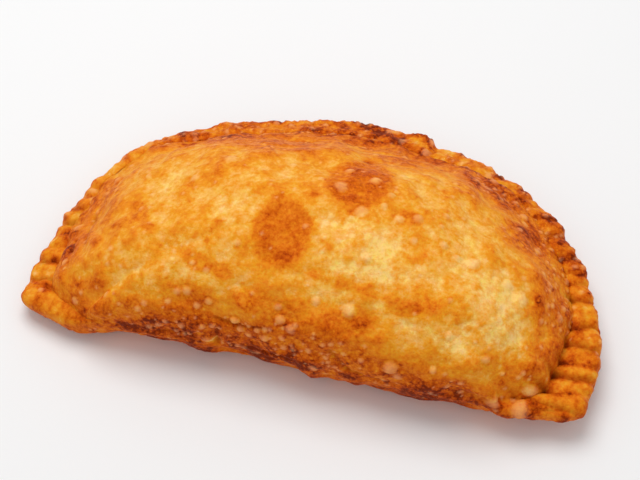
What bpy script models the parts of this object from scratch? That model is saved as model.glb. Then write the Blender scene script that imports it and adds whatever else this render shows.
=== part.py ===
"""Half-moon empanada: one fried pastry, folded along its front and crimped along its curved back.

The shape is worked out around a plan outline. Every ring of the mesh follows that outline, and each
place along the outline has a cross-section: on the curved side a domed body, a groove, a crimped rim
and a rounded belly, and along the front the round roll of the folded dough.
"""

import math
from typing import NamedTuple

import bmesh
import bpy

MM = 0.001

# Plan outline
HALF_LENGTH = 73.4 * MM
CURVED_DEPTH = 72.0 * MM
FOLD_BULGE = 6.0 * MM
FOLD_SQUARENESS = 3.2
CENTRE_Y = 25.0 * MM
# Where the hand-formed outline swells out or draws in: degrees round the centre, spread, size
SWELLS = (
    (-19.0, 7.0, -2.2 * MM),
    (0.0, 12.0, 1.6 * MM),
    (33.0, 17.0, 3.0 * MM),
    (90.0, 20.0, -0.6 * MM),
    (118.0, 12.0, -1.2 * MM),
    (155.0, 14.0, 2.6 * MM),
    (185.0, 8.0, -0.8 * MM),
    (236.0, 14.0, -1.2 * MM),
    (277.0, 8.0, 0.6 * MM),
)

# Where the filled body comes closer to the outline, and the rim beside it is narrower
BODY_SWELLS = (
    (10.0, 22.0, 1.7 * MM),
    (45.0, 14.0, 1.5 * MM),
    (170.0, 24.0, 3.7 * MM),
)

# Body
TOP_HEIGHT = 36.0 * MM
FOLD_HEIGHT = 12.0 * MM
BODY_LEFT_END = 63.5 * MM
BODY_RIGHT_END = 62.0 * MM
BODY_SQUARENESS = 5.0
PLAN_SQUARENESS = 8.0
BODY_CORNER = (math.radians(14.0), math.radians(-10.0))
BASE_SHARE = 0.80
FOLD_BASE_SHARE = 0.70
# How full the section is out from the centre and up from its foot
FRONT_FULLNESS = (2.25, 0.45)
SIDE_FULLNESS = (3.0, 0.75)
BACK_FULLNESS = (2.0, 0.95)
FRONT_START = math.radians(20.0)
FRONT_END = math.radians(-50.0)

# Crimped rim
RIM_THICKNESS = 4.6 * MM
RIM_WIDTH_SIDE = 7.0 * MM
RIM_WIDTH_BACK = 8.5 * MM
RIM_MIDDLE_LEFT = 5.0 * MM
RIM_MIDDLE_BACK = 9.0 * MM
RIM_MIDDLE_RIGHT = 8.5 * MM
GROOVE_DEPTH = 1.0 * MM
ROOT_OVERHANG = 1.0 * MM
SEAL_START = 1.0 * MM
SEAL_END = 4.5 * MM

# Crimps
CRIMP_COUNT = 38
CRIMP_DEPTH = 1.3 * MM
CRIMP_WIDTH = 1.5 * MM
CRIMP_SCALLOP = 0.5 * MM
CRIMP_SHARE_BACK = 0.45
CRIMP_PITCH = math.pi * CURVED_DEPTH * 1.1 / CRIMP_COUNT

# Mesh
CRIMPED_ARC = (math.radians(-40.0), math.radians(220.0))
STATIONS_PER_CRIMP = 5
FOLD_STATIONS = 40
OUTLINE_SAMPLES = 4000
DOME_RINGS = 9
RIM_RINGS = 3
EDGE_RINGS = 3
UNDERSIDE_RINGS = 2
BELLY_RINGS = 3
BASE_RINGS = 1
FOLD_FOOT_ANGLE = 5.0
EDGE_ANGLE = 2.0
UNDERSIDE_ANGLE = -8.0

CRUST_COLOUR = (0.68, 0.27, 0.045, 1.0)
CRUST_ROUGHNESS = 0.45


class Station(NamedTuple):
    """One place along the outline, with all that its cross-section needs."""

    direction: tuple
    reach: float
    body_reach: float
    seal: float
    out_power: float
    up_power: float
    rim_middle: float
    crimp: float


def clear_scene():
    for obj in list(bpy.data.objects):
        bpy.data.objects.remove(obj, do_unlink=True)


def smooth_step(low, high, value):
    share = min(max((value - low) / (high - low), 0.0), 1.0)
    return share * share * (3.0 - 2.0 * share)


def mix(low, high, share):
    return low + (high - low) * share


def swell_towards(turn, swells):
    total = 0.0
    for middle, spread, size in swells:
        gap = (math.degrees(turn) - middle + 180.0) % 360.0 - 180.0
        total += size * math.exp(-((gap / spread) ** 2))
    return total


def outline_point(angle):
    """The plan outline: half an ellipse behind, and a flattened, round-cornered bulge in front."""
    along = math.cos(angle)
    across = math.sin(angle)
    if across >= 0.0:
        x = HALF_LENGTH * along
        y = CURVED_DEPTH * across - CENTRE_Y
    else:
        power = 2.0 / FOLD_SQUARENESS
        x = HALF_LENGTH * math.copysign(abs(along) ** power, along)
        y = -FOLD_BULGE * abs(across) ** power - CENTRE_Y
    stretch = 1.0 + swell_towards(math.atan2(y, x), SWELLS) / math.hypot(x, y)
    return x * stretch, y * stretch + CENTRE_Y


def even_angles(start, end, count):
    """Angles from start up to end whose outline points lie equally far apart."""
    step = (end - start) / OUTLINE_SAMPLES
    samples = [start + step * i for i in range(OUTLINE_SAMPLES + 1)]
    points = [outline_point(angle) for angle in samples]
    travelled = [0.0]
    for before, after in zip(points, points[1:]):
        travelled.append(travelled[-1] + math.dist(before, after))
    angles = []
    sample = 0
    for i in range(count):
        wanted = travelled[-1] * i / count
        while travelled[sample + 1] < wanted:
            sample += 1
        share = (wanted - travelled[sample]) / (travelled[sample + 1] - travelled[sample])
        angles.append(samples[sample] + step * share)
    return angles


def crimp_groove(phase):
    """How deep a fork mark is at this phase of a crimp, from 0 on the ridge to 1 in the groove."""
    from_groove = abs(phase - round(phase)) * CRIMP_PITCH
    return math.exp(-((from_groove / CRIMP_WIDTH) ** 2))


def rounded_reach(direction, end, squareness):
    """How far a rounded box with this half-length reaches in a direction, down to the fold's line."""
    along = abs(direction[0]) / end
    across = max(-direction[1], 0.0) / (CENTRE_Y + FOLD_BULGE)
    return (along**squareness + across**squareness) ** (-1.0 / squareness)


def body_share(direction):
    """The filled body's share of the outline's reach in front, where it ends short of the corners."""
    end = BODY_RIGHT_END if direction[0] > 0.0 else BODY_LEFT_END
    body = rounded_reach(direction, end, BODY_SQUARENESS)
    return body / rounded_reach(direction, HALF_LENGTH, PLAN_SQUARENESS)


def fullness(turn, back):
    """The two powers of the dome's section, changing smoothly from the sides to the back and front."""
    front = smooth_step(0.0, 1.0, (turn - FRONT_START) / (FRONT_END - FRONT_START))
    powers = []
    for front_power, side_power, back_power in zip(FRONT_FULLNESS, SIDE_FULLNESS, BACK_FULLNESS):
        powers.append(mix(mix(side_power, back_power, back), front_power, front))
    return powers


def make_station(angle, phase):
    x, y = outline_point(angle)
    reach = math.hypot(x, y - CENTRE_Y)
    direction = (x / reach, (y - CENTRE_Y) / reach)
    turn = math.asin(direction[1])
    back = max(math.sin(angle), 0.0) ** 1.5
    beside_rim = reach - mix(RIM_WIDTH_SIDE, RIM_WIDTH_BACK, back)
    in_front = smooth_step(0.0, 1.0, (turn - BODY_CORNER[0]) / (BODY_CORNER[1] - BODY_CORNER[0]))
    body_reach = mix(beside_rim, reach * body_share(direction), in_front)
    body_reach += swell_towards(math.atan2(direction[1], direction[0]), BODY_SWELLS)
    seal = smooth_step(SEAL_START, SEAL_END, reach - body_reach)
    out_power, up_power = fullness(turn, back)
    side_middle = mix(RIM_MIDDLE_LEFT, RIM_MIDDLE_RIGHT, smooth_step(-HALF_LENGTH, HALF_LENGTH, x))
    return Station(
        direction=direction,
        reach=reach,
        body_reach=body_reach,
        seal=seal,
        out_power=out_power,
        up_power=up_power,
        rim_middle=mix(side_middle, RIM_MIDDLE_BACK, back),
        crimp=seal * mix(1.0, CRIMP_SHARE_BACK, back) * crimp_groove(phase),
    )


def all_stations():
    """Stations all round: a fixed number for each crimp, then evenly along the fold."""
    start, end = CRIMPED_ARC
    stations = []
    for i, angle in enumerate(even_angles(start, end, CRIMP_COUNT * STATIONS_PER_CRIMP)):
        stations.append(make_station(angle, i / STATIONS_PER_CRIMP))
    for angle in even_angles(end, start + math.tau, FOLD_STATIONS):
        stations.append(make_station(angle, 0.5))
    return stations


def dome_height(station, floor, spread):
    rise = max(1.0 - spread**station.out_power, 0.0) ** station.up_power
    return mix(floor, TOP_HEIGHT, rise)


def fold_point(station, degrees):
    """The rolled fold: an upright rounded section above its widest line, tucked in below it."""
    spread = math.cos(math.radians(degrees))
    if degrees >= 0.0:
        return station.reach * spread, dome_height(station, FOLD_HEIGHT, spread)
    foot = station.reach * FOLD_BASE_SHARE
    lift = math.sin(math.radians(degrees))
    return mix(foot, station.reach, spread), FOLD_HEIGHT * (1.0 + lift)


def blend(station, sealed_place, degrees):
    """The fold's section where the dough is folded, and the rim's where it is sealed."""
    fold_place = fold_point(station, degrees)
    return tuple(mix(a, b, station.seal) for a, b in zip(fold_place, sealed_place))


def dome_foot(station):
    """The angle at which the dome hands over to the rim: its foot where sealed, higher on the fold."""
    return mix(FOLD_FOOT_ANGLE, 0.0, station.seal)


def groove_floor(station):
    return station.rim_middle + RIM_THICKNESS / 2.0 - GROOVE_DEPTH


def dome_place(station, share):
    spread = math.cos(math.radians(mix(90.0, dome_foot(station), share)))
    reach = mix(station.reach, station.body_reach, station.seal)
    floor = mix(FOLD_HEIGHT, groove_floor(station), station.seal)
    return reach * spread, dome_height(station, floor, spread)


def rim_place(station, share):
    outer = station.reach - RIM_THICKNESS / 2.0
    height = groove_floor(station) + GROOVE_DEPTH * min(1.0, 2.0 * share)
    place = (mix(station.body_reach, outer, share), height - CRIMP_DEPTH * station.crimp)
    return blend(station, place, mix(dome_foot(station), EDGE_ANGLE, share))


def edge_place(station, share):
    turn = math.radians(mix(90.0, -90.0, share))
    radius = RIM_THICKNESS / 2.0
    out = station.reach - radius + radius * math.cos(turn) - CRIMP_SCALLOP * station.crimp
    above = max(math.sin(turn), 0.0)
    height = station.rim_middle + radius * math.sin(turn) - CRIMP_DEPTH * station.crimp * above
    return blend(station, (out, height), mix(EDGE_ANGLE, -EDGE_ANGLE, share))


def underside_place(station, share):
    outer = station.reach - RIM_THICKNESS / 2.0
    root = station.body_reach - ROOT_OVERHANG
    height = station.rim_middle - RIM_THICKNESS / 2.0
    return blend(station, (mix(outer, root, share), height), mix(-EDGE_ANGLE, UNDERSIDE_ANGLE, share))


def belly_place(station, share):
    turn = share * math.pi / 2.0
    root = station.body_reach - ROOT_OVERHANG
    foot = station.body_reach * BASE_SHARE
    height = (station.rim_middle - RIM_THICKNESS / 2.0) * (1.0 - math.sin(turn))
    place = (mix(foot, root, math.cos(turn)), height)
    return blend(station, place, mix(UNDERSIDE_ANGLE, -90.0, share))


def base_place(station, share):
    out, height = belly_place(station, 1.0)
    return out * (1.0 - share), height


def ring_places():
    """One (section, share) pair for each ring of the mesh, from the top of the dome to the base."""
    places = []
    places += [(dome_place, (i + 1) / DOME_RINGS) for i in range(DOME_RINGS)]
    places += [(rim_place, (i + 1) / RIM_RINGS) for i in range(RIM_RINGS)]
    places += [(edge_place, (i + 1) / (EDGE_RINGS + 1)) for i in range(EDGE_RINGS)]
    places += [(underside_place, i / (UNDERSIDE_RINGS - 1)) for i in range(UNDERSIDE_RINGS)]
    places += [(belly_place, (i + 1) / BELLY_RINGS) for i in range(BELLY_RINGS)]
    places += [(base_place, (i + 1) / (BASE_RINGS + 1)) for i in range(BASE_RINGS)]
    return places


def shape_vertex(vertex, stations, places):
    """Moves one vertex of the starting ball to its ring and station on the empanada."""
    down = math.acos(min(max(vertex.co.z, -1.0), 1.0))
    ring = round(down / math.pi * (len(places) + 1)) - 1
    if ring < 0:
        vertex.co = (0.0, CENTRE_Y, TOP_HEIGHT)
        return
    if ring == len(places):
        vertex.co = (0.0, CENTRE_Y, 0.0)
        return
    round_share = math.atan2(vertex.co.y, vertex.co.x) / math.tau
    station = stations[round(round_share * len(stations)) % len(stations)]
    section, share = places[ring]
    out, height = section(station, share)
    x = out * station.direction[0]
    y = CENTRE_Y + out * station.direction[1]
    vertex.co = (x, y, height)


def stand_on_origin(mesh):
    """Puts the origin at the bottom centre of the mesh's box."""
    xs = [vertex.co.x for vertex in mesh.verts]
    ys = [vertex.co.y for vertex in mesh.verts]
    zs = [vertex.co.z for vertex in mesh.verts]
    middle_x = (min(xs) + max(xs)) / 2.0
    middle_y = (min(ys) + max(ys)) / 2.0
    bmesh.ops.translate(mesh, verts=mesh.verts, vec=(-middle_x, -middle_y, -min(zs)))


def crust_material():
    material = bpy.data.materials.new("crust")
    material.use_nodes = True
    shader = material.node_tree.nodes["Principled BSDF"]
    shader.inputs["Base Color"].default_value = CRUST_COLOUR
    shader.inputs["Roughness"].default_value = CRUST_ROUGHNESS
    shader.inputs["Metallic"].default_value = 0.0
    return material


def make_empanada():
    stations = all_stations()
    places = ring_places()
    mesh = bmesh.new()
    bmesh.ops.create_uvsphere(
        mesh, u_segments=len(stations), v_segments=len(places) + 1, radius=1.0
    )
    for vertex in mesh.verts:
        shape_vertex(vertex, stations, places)
    stand_on_origin(mesh)
    bmesh.ops.recalc_face_normals(mesh, faces=mesh.faces)
    data = bpy.data.meshes.new("empanada")
    mesh.to_mesh(data)
    mesh.free()
    data.shade_smooth()
    data.materials.append(crust_material())
    empanada = bpy.data.objects.new("empanada", data)
    bpy.context.scene.collection.objects.link(empanada)


def main():
    clear_scene()
    make_empanada()


main()
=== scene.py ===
"""Half-moon empanada: one fried pastry with a blistered, browned crust and a crimped rim.

It is laid out as an add-on and run as a script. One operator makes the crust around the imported
model, and another makes the stage.
"""

import math

import bmesh
import bpy
import numpy as np
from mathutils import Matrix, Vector, kdtree, noise
from mathutils.bvhtree import BVHTree


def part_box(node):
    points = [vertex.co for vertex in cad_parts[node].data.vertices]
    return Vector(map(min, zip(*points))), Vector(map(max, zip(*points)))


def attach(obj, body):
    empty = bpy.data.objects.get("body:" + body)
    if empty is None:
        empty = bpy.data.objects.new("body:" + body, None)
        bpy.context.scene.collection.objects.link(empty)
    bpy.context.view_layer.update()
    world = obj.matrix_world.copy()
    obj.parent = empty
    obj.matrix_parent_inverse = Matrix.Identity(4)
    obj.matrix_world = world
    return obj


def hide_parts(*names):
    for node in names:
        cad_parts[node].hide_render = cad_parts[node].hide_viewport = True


bl_info = {
    "name": "Half-moon Empanada",
    "version": (1, 0, 0),
    "blender": (4, 5, 0),
    "location": "3D View > Sidebar > Empanada",
    "description": "A fried half-moon pastry with a blistered crust and a crimped rim",
    "category": "Add Mesh",
}

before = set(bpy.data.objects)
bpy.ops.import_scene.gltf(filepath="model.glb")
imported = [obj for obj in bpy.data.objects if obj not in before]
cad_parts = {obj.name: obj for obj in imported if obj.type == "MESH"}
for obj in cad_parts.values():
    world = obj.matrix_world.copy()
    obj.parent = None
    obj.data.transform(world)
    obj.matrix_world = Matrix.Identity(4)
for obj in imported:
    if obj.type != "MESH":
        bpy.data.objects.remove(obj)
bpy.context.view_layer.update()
MM = 0.001

# Every size below is in millimetres, and every turn is in degrees round the centre of the body,
# counted from the right-hand end towards the back.
CENTRE = (0.3, -7.4)
CENTRE_TO_FOLD = 25.0

# Plan outline
HALF_LENGTH = 73.4
CURVED_DEPTH = 72.0
FOLD_BULGE = 6.0
FOLD_SQUARENESS = 3.2
SWELLS = (
    (-19, 7, -2.2),
    (0, 12, 1.6),
    (33, 17, 3),
    (90, 20, -0.6),
    (118, 12, -1.2),
    (155, 14, 2.6),
    (185, 8, -0.8),
    (236, 14, -1.2),
    (277, 8, 0.6),
)

# Where the filled body comes closer to the outline, and the rim beside it is narrower
BODY_SWELLS = (
    (10, 22, 1.7),
    (45, 14, 1.5),
    (170, 24, 3.7),
)

# Body
TOP_HEIGHT = 35.2
FOLD_HEIGHT = 12.0
BODY_LEFT_END = 63.5
BODY_RIGHT_END = 62.0
BODY_SQUARENESS = 5.0
PLAN_SQUARENESS = 8.0
BODY_CORNER = (14.0, -10.0)
BASE_SHARE = 0.80
FOLD_BASE_SHARE = 0.70
FRONT_FULLNESS = (2.25, 0.45)
SIDE_FULLNESS = (3.0, 0.75)
BACK_FULLNESS = (2.0, 0.95)
FRONT_TURNS = (20.0, -50.0)

# Rim
RIM_THICKNESS = 4.6
RIM_WIDTH_SIDE = 7.0
RIM_WIDTH_BACK = 8.5
RIM_MIDDLE_LEFT = 5.0
RIM_MIDDLE_BACK = 9.0
RIM_MIDDLE_RIGHT = 8.5
GROOVE_DEPTH = 1.0
ROOT_OVERHANG = 1.0
SEAL_START = 1.0
SEAL_END = 4.5

# Mesh
STATIONS = 480
OUTLINE_START = -40.0
OUTLINE_SAMPLES = 8000
FOLD_FOOT_ANGLE = 5.0
EDGE_ANGLE = 2.0
UNDERSIDE_ANGLE = -8.0
RINGS = {"dome": 40, "rim": 10, "edge": 9, "underside": 6, "belly": 12, "base": 8}
VOXEL = 0.96
SMOOTHING_ROUNDS = 3
# Faces that point further down than this stay coarse.
COARSE_BELOW = -0.55

# Crimps, counted in mm along the outline from the right-hand corner and round the back:
# place beside the body, place at the edge, depth, pit at the inner end
RIGHT_CRIMPS = (
    (-2, 9, 0.8, 0.3),
    (9, 15.5, 0.6, 1),
    (15, 19.5, 1.1, 1),
    (20, 23, 0.5, 0.9),
    (26.5, 28, 1.1, 0.5),
    (32, 35, 1.1, 0.3),
    (41, 43, 0.8, 0.9),
    (47, 48, 0.6, 0.2),
    (51, 51.5, 0.6, 0.2),
    (55, 57, 0.8, 0.6),
    (63, 63.5, 0.9, 0.2),
    (70, 69.5, 0.6, 0.2),
)
LEFT_CRIMPS = (
    (196.5, 197, 0.5, 0),
    (202.5, 202, 0.5, 0),
    (208, 207, 0.5, 0.2),
    (212, 211.5, 0.5, 0),
    (217, 216, 0.7, 0),
    (221.5, 220.5, 1, 0.3),
    (225.5, 224.5, 0.4, 0),
    (229, 228, 0.5, 0),
    (234.5, 233, 1.3, 0.3),
    (240.5, 238.5, 0.9, 0),
)
BACK_PITCH = (4.0, 7.5)
BACK_DEPTH = (0.2, 0.6)
CRIMP_ROUNDNESS = 0.8
CRIMP_SEED = 11
PIT_DEPTH = 1.6
LAST_RIM_PLACE = 355.0
ROOT_FILL_LEFT = 1.9
ROOT_FILL_RIGHT = 0.6
ROOT_FILL_BACK = 3.0
ROOT_FILL_WIDTH = 3.6

# How far a crimp draws in the edge, as a share of its depth
CRIMP_SCALLOP = 0.6

# Where the edge stands out in a lobe, or is nicked: degrees round the centre, spread, mm outwards
EDGE_LOBES = (
    # the right-hand end, a little flatter than the plain outline
    (341, 4, -0.5),
    (350, 7, -0.7),
    # the lobes of the back rim and the nicks between them
    (14, 5, 1.2),
    (26, 3, 1.2),
    (33, 2, -0.5),
    (45, 3, -1.2),
    (49, 2, 0.5),
    (66, 2, -1),
    (71, 3, 1.2),
    (91, 2, -0.5),
    (126, 4, -0.5),
    (135, 3, 0.5),
    (140, 1.5, -0.8),
    (171, 2.5, 0.8),
    (181, 2, 0.8),
    # the thick lip at the left-hand corner
    (199, 4, -0.8),
    (210, 6, 2),
    # the fold: the flap's lower lobe, the ledge and the lump beside the right-hand corner
    (222, 5, -0.8),
    (233, 4, 1),
    (250, 8, -0.8),
    (279, 4, 0.5),
    (322, 4, -1),
    (329, 2, 1),
)

# Ridges, hollows and cracks that are seen from above: start, end, width, height, darkness of the
# painted shade in a hollow or crack
TOP_MARKS = (
    # the thick lip at the left-hand corner, the hollow behind it and the bumps above that
    ((-68.5, -33.5), (-58, -36), 3, 1.5, 0),
    ((-66, -30.5), (-62.5, -31), 1.5, -1, 0.6),
    ((-67.5, -29), (-67.5, -29), 1.5, 0.8, 0),
    ((-64.5, -28.5), (-64.5, -28.5), 1.5, 0.9, 0),
    ((-69, -24.5), (-65.5, -25), 1.5, 0.6, 0),
    # the doubled root of the left-hand rim
    ((-63.5, -6), (-62.5, -15.5), 1.5, 0.9, 0),
    ((-61, -19), (-60.5, -23), 0.9, -0.9, 0.7),
    ((-59, -16.5), (-57.5, -21.5), 0.8, -0.7, 0.6),
    ((-59, -13.5), (-59.5, -12), 1, -0.8, 0.6),
    # the lobes at the right-hand corner
    ((58, -33.5), (69, -31), 1.9, 0.8, 0),
    ((59, -36), (66, -34.5), 0.8, -0.7, 0.7),
    ((62, -20), (62.5, -14.5), 1, -0.8, 0.8),
    # a soft swelling beside the middle
    ((-5, -9), (4.5, -8.5), 3, 0.4, 0),
)
# The same for the marks on the fold, which are placed by x and height
FOLD_MARKS = (
    # the overlapping edge of dough
    ((-19.5, 20), (-14.5, 19.5), 0.6, -0.5, 0.7),
    ((-14.5, 19.5), (-6.5, 21.5), 0.6, -0.4, 0.5),
    ((-19, 10.5), (-19, 17), 0.7, -1, 0.9),
    # the ledge and the cracks beside it
    ((0.5, 3.5), (1, 11), 0.8, -0.8, 0.7),
    ((-8, 11), (0, 13), 0.6, -0.5, 0.6),
    ((9, 19), (13.5, 14), 0.8, -0.5, 0.6),
    ((13.5, 13.5), (23, 12), 0.6, -0.6, 0.7),
    ((41.5, 13.5), (49, 11), 1.8, -0.5, 0.4),
    ((-34, 12), (-24, 13.5), 0.6, -0.4, 0.5),
    # soft swellings
    ((43, 21.5), (46, 21), 3.5, 0.7, 0),
    ((-12.5, 25), (-11.5, 23.5), 2.6, 0.6, 0),
)

# Blisters seen from above: x, y, radius, height
TOP_BLISTERS = (
    (12, -31, 1.8, 0.8),
    (57, -31.5, 2.2, 0.9),
    (22.5, -5, 1.3, 0.5),
    (30, -9.5, 1.2, 0.5),
    (23, -11, 1.1, 0.5),
    (38, -11.5, 1.7, 0.5),
    (50.5, -15.5, 2, 0.5),
    (47, -13.5, 1.6, 0.5),
    (-26.5, 3, 1.8, 0.5),
    (2.5, -0.5, 1.9, 0.5),
    (10, 4, 1.6, 0.7),
    (9, -7, 1.7, 0.5),
    (3, 7, 1.3, 0.5),
)
# Blisters on the fold: x, height above the floor, radius, height of the blister
FOLD_BLISTERS = (
    (-34, 15, 1.1, 0.6),
    (-26, 13.5, 1, 0.6),
    (-22.5, 17.5, 1, 0.6),
    (-21, 12.5, 1.5, 0.7),
    (-21.5, 24, 1, 0.4),
    (-20, 18, 0.9, 0.6),
    (-15, 20.5, 1.3, 0.9),
    (-13.5, 18.5, 1, 0.7),
    (-9, 20, 0.9, 0.6),
    (-7, 18, 1.2, 0.8),
    (-4, 24, 1.3, 0.6),
    (-1, 22.5, 1.4, 0.6),
    (24, 18.5, 2, 1.2),
    (34, 20, 1, 0.8),
    (38.5, 15.5, 0.9, 0.6),
    (48.5, 11.5, 1.9, 1),
    (55.5, 10, 2.6, 1.2),
)
BLISTER_SEED = 5
BLISTER_FOOT = 1.5
BLISTER_FOOT_DEPTH = 0.1
VERTEX_AREA = 0.21

# The lumps of the dough: how large each kind is, and how high it stands
BROAD_SIZE = 18.0
BROAD_HEIGHT = 0.36
WOBBLE_SIZE = 8.0
WOBBLE_HEIGHT = 0.24
FLECK_SIZE = 3.6
FLECK_HEIGHT = 0.08
GRAIN_SIZE = 1.6
GRAIN_HEIGHT = 0.05
PLEAT_SIZE = 3.2
PLEAT_STRETCH = 0.22
PLEAT_HEIGHT = 0.20
FROTH_SIZE = 1.9
FROTH_HEIGHT = 0.16

# Tones, from 0 for pale dough to 1 for dark brown
DOUGH_TONE = 0.34
BAND_TONE = 0.755
RIM_TONE = 0.78
UNDERSIDE_TONE = 0.74

# The upper line of the browned band along the fold: x, height
FOLD_LINE = (
    (-70, 8),
    (-52, 13),
    (-40, 20),
    (-24, 23),
    (-18, 20.5),
    (-4, 24.5),
    (10, 23.5),
    (26, 19),
    (40, 17.5),
    (58, 9),
)

# Small spots seen from above: x, y, radius, change of tone
TOP_SPOTS = (
    # Most of the paler spots sit on the tops of named blisters: partly thinner skin, partly a
    # painted highlight.
    (12.5, -31, 1.8, -0.3),
    (17, -32, 2.2, 0.15),
    (10, 4, 1.5, -0.3),
    (1.5, 1.5, 1.8, -0.16),
    (9, -7, 1.6, -0.12),
    (50.5, -15.5, 1.8, -0.12),
    (-14, -28.5, 1.6, -0.16),
    (-6, -22, 3, 0.1),
)
# The pale flake on the fold: x, height, radius, change of tone
FOLD_SPOTS = ((-20.0, 12.0, 1.5, -0.75),)

# Browned patches: x, y, half widths, turn, strength
# The crisp ones are the two large round ones and the two halves of the streak at the front.
CRISP_SOFTNESS = 0.2
CRISP_PATCHES = (
    (-8, -17, 7, 8.5, 0, 0.32),
    (6, 3, 8, 10.5, 0, 0.38),
    (24.5, -28, 4, 1.9, 4, 0.26),
    (29.5, -26.5, 3, 2, 20, 0.2),
)
PATCH_SOFTNESS = 0.30
PATCHES = (
    # along the front, from the right to the left
    (17.5, -26, 5, 1.6, 0, 0.24),
    (7, -25.5, 6.5, 1.6, -6, 0.22),
    (-3, -23.5, 5, 2.4, 0, 0.09),
    (5, -33, 12, 2.6, 0, 0.22),
    (15.5, -31.5, 4, 2, 0, 0.16),
    (-26.5, -27.5, 4, 1.8, -15, 0.26),
    (-20, -28.5, 3, 1.6, 0, 0.2),
    (-10.5, -31.5, 4, 1.6, 0, 0.14),
    (-34, -25, 4, 1.6, -10, 0.14),
    (-27, -33.5, 7, 2, 0, 0.16),
    # on the left
    (-45, -15, 2.2, 4.5, 35, 0.26),
    (-40.5, -20.5, 3, 1.6, -30, 0.2),
    (-35, -10, 3, 6, 10, 0.2),
    (-31, -4.5, 6.5, 2.6, 4, 0.16),
    (-60.5, -10, 4, 16, 0, 0.16),
    # behind
    (-18, 15, 11, 6, 8, 0.26),
    (-33, 19, 7, 6, 30, 0.2),
    (-7, 6, 4, 6, 0, 0.2),
    (12, 18, 8, 5, 0, 0.18),
    (36, 18, 8, 5, -30, 0.22),
    # on the right
    (47, 5, 6, 6, 0, 0.26),
    (24, -13, 3, 4.5, 0, 0.24),
    (20, -5.5, 4, 2.6, 0, 0.18),
    (54, -18, 2.6, 6, 10, 0.16),
)
PALE_SOFTNESS = 0.6
PALE_PATCHES = (
    (46, -20, 8, 9, 0, 0.3),
    (11, -17, 9, 7, 0, 0.3),
    (-1, -9.5, 5, 5, 0, 0.18),
    (-8, 4, 14, 2, -38, 0.12),
    (-19, -11, 6, 9, 0, 0.2),
    (-46, -29.5, 9, 4, 0, 0.18),
    (-50, -5, 4, 8, 0, 0.12),
    (-55, 11, 4, 8, -30, 0.18),
    (37, -31.5, 9, 2.5, 0, 0.12),
    (-24, -31.5, 5, 2, 0, 0.14),
    (67, 5, 5, 9, 0, 0.1),
    (59, -36, 7, 4, 0, 0.07),
    # the yellow, crinkled stretch of the back rim
    (15, 34, 3.5, 1.6, -15, 0.3),
    (29, 31, 10, 4, -22, 0.2),
    # the top of the left-hand lip, paler as a painted highlight
    (-68, -33.5, 5, 3, -10, 0.12),
)

# Patterns of the material: their scales, in cells to the metre, and how much they change the tone
MOTTLE_SCALE = 330.0
MOTTLE_SWING = 0.45
FINE_SCALE = 1000.0
FINE_SWING = 0.68
SPECK_SCALE = 2300.0
LARGE_BUBBLE_SCALE = 620.0
SMALL_BUBBLE_SCALE = 1150.0
# The tiny bubbles' tops are paler: partly thinner skin, partly a painted highlight.
BUBBLE_SWING = -0.30
RING_SCALE = 290.0
RING_SWING = 0.13
TINT_SCALE = 430.0
# How far a blister's top turns pale: partly its thinner skin, partly a painted sheen.
BLISTER_SKIN_AND_SHEEN_SHARE = 0.35

# Stage, in metres and degrees
FLOOR_HALF_WIDTH = 3.0
LIGHT_PLACE = (-0.12, 0.14, 0.62)
LIGHT_SIZE = 0.45
CAMERA_AIM = (-0.0025, -0.0021, 0.012)
CAMERA_DISTANCE = 0.45
CAMERA_TURN = 14.58
CAMERA_RISE = 55.3
SENSOR_WIDTH = 36.0


def smooth_step(low, high, value):
    """0 at low and beyond, 1 at high and beyond, and eased between them."""
    share = np.clip((value - low) / (high - low), 0.0, 1.0)
    return share * share * (3.0 - 2.0 * share)


def mix(low, high, share):
    return low + (high - low) * share


def bell(distance, spread):
    """1 at no distance, falling smoothly to nothing past twice the spread."""
    return np.exp(-((distance / spread) ** 2))


# ---------------------------------------------------------------- plan and sections


def swell_towards(turn, swells):
    """The sum of rounded swells, each given by its turn, its spread and its size in mm."""
    total = np.zeros_like(turn)
    for middle, spread, size in swells:
        total += size * bell((turn - middle + 180.0) % 360.0 - 180.0, spread)
    return total


def outline_points(angles):
    """The plan outline about the centre: half an ellipse behind, a flattened bulge in front."""
    along, across = np.cos(angles), np.sin(angles)
    power = 2.0 / FOLD_SQUARENESS
    x = np.where(across >= 0.0, along, np.sign(along) * np.abs(along) ** power) * HALF_LENGTH
    behind = CURVED_DEPTH * across
    in_front = -FOLD_BULGE * np.abs(across) ** power
    y = np.where(across >= 0.0, behind, in_front) - CENTRE_TO_FOLD
    stretch = 1.0 + swell_towards(np.degrees(np.arctan2(y, x)), SWELLS) / np.hypot(x, y)
    return x * stretch, y * stretch


def rounded_reach(direction, end, squareness):
    """How far a rounded box reaches from the centre towards each station in front."""
    along = np.abs(direction[0]) / end
    across = np.maximum(-direction[1], 0.0) / (CENTRE_TO_FOLD + FOLD_BULGE)
    return (along**squareness + across**squareness) ** (-1.0 / squareness)


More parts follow.
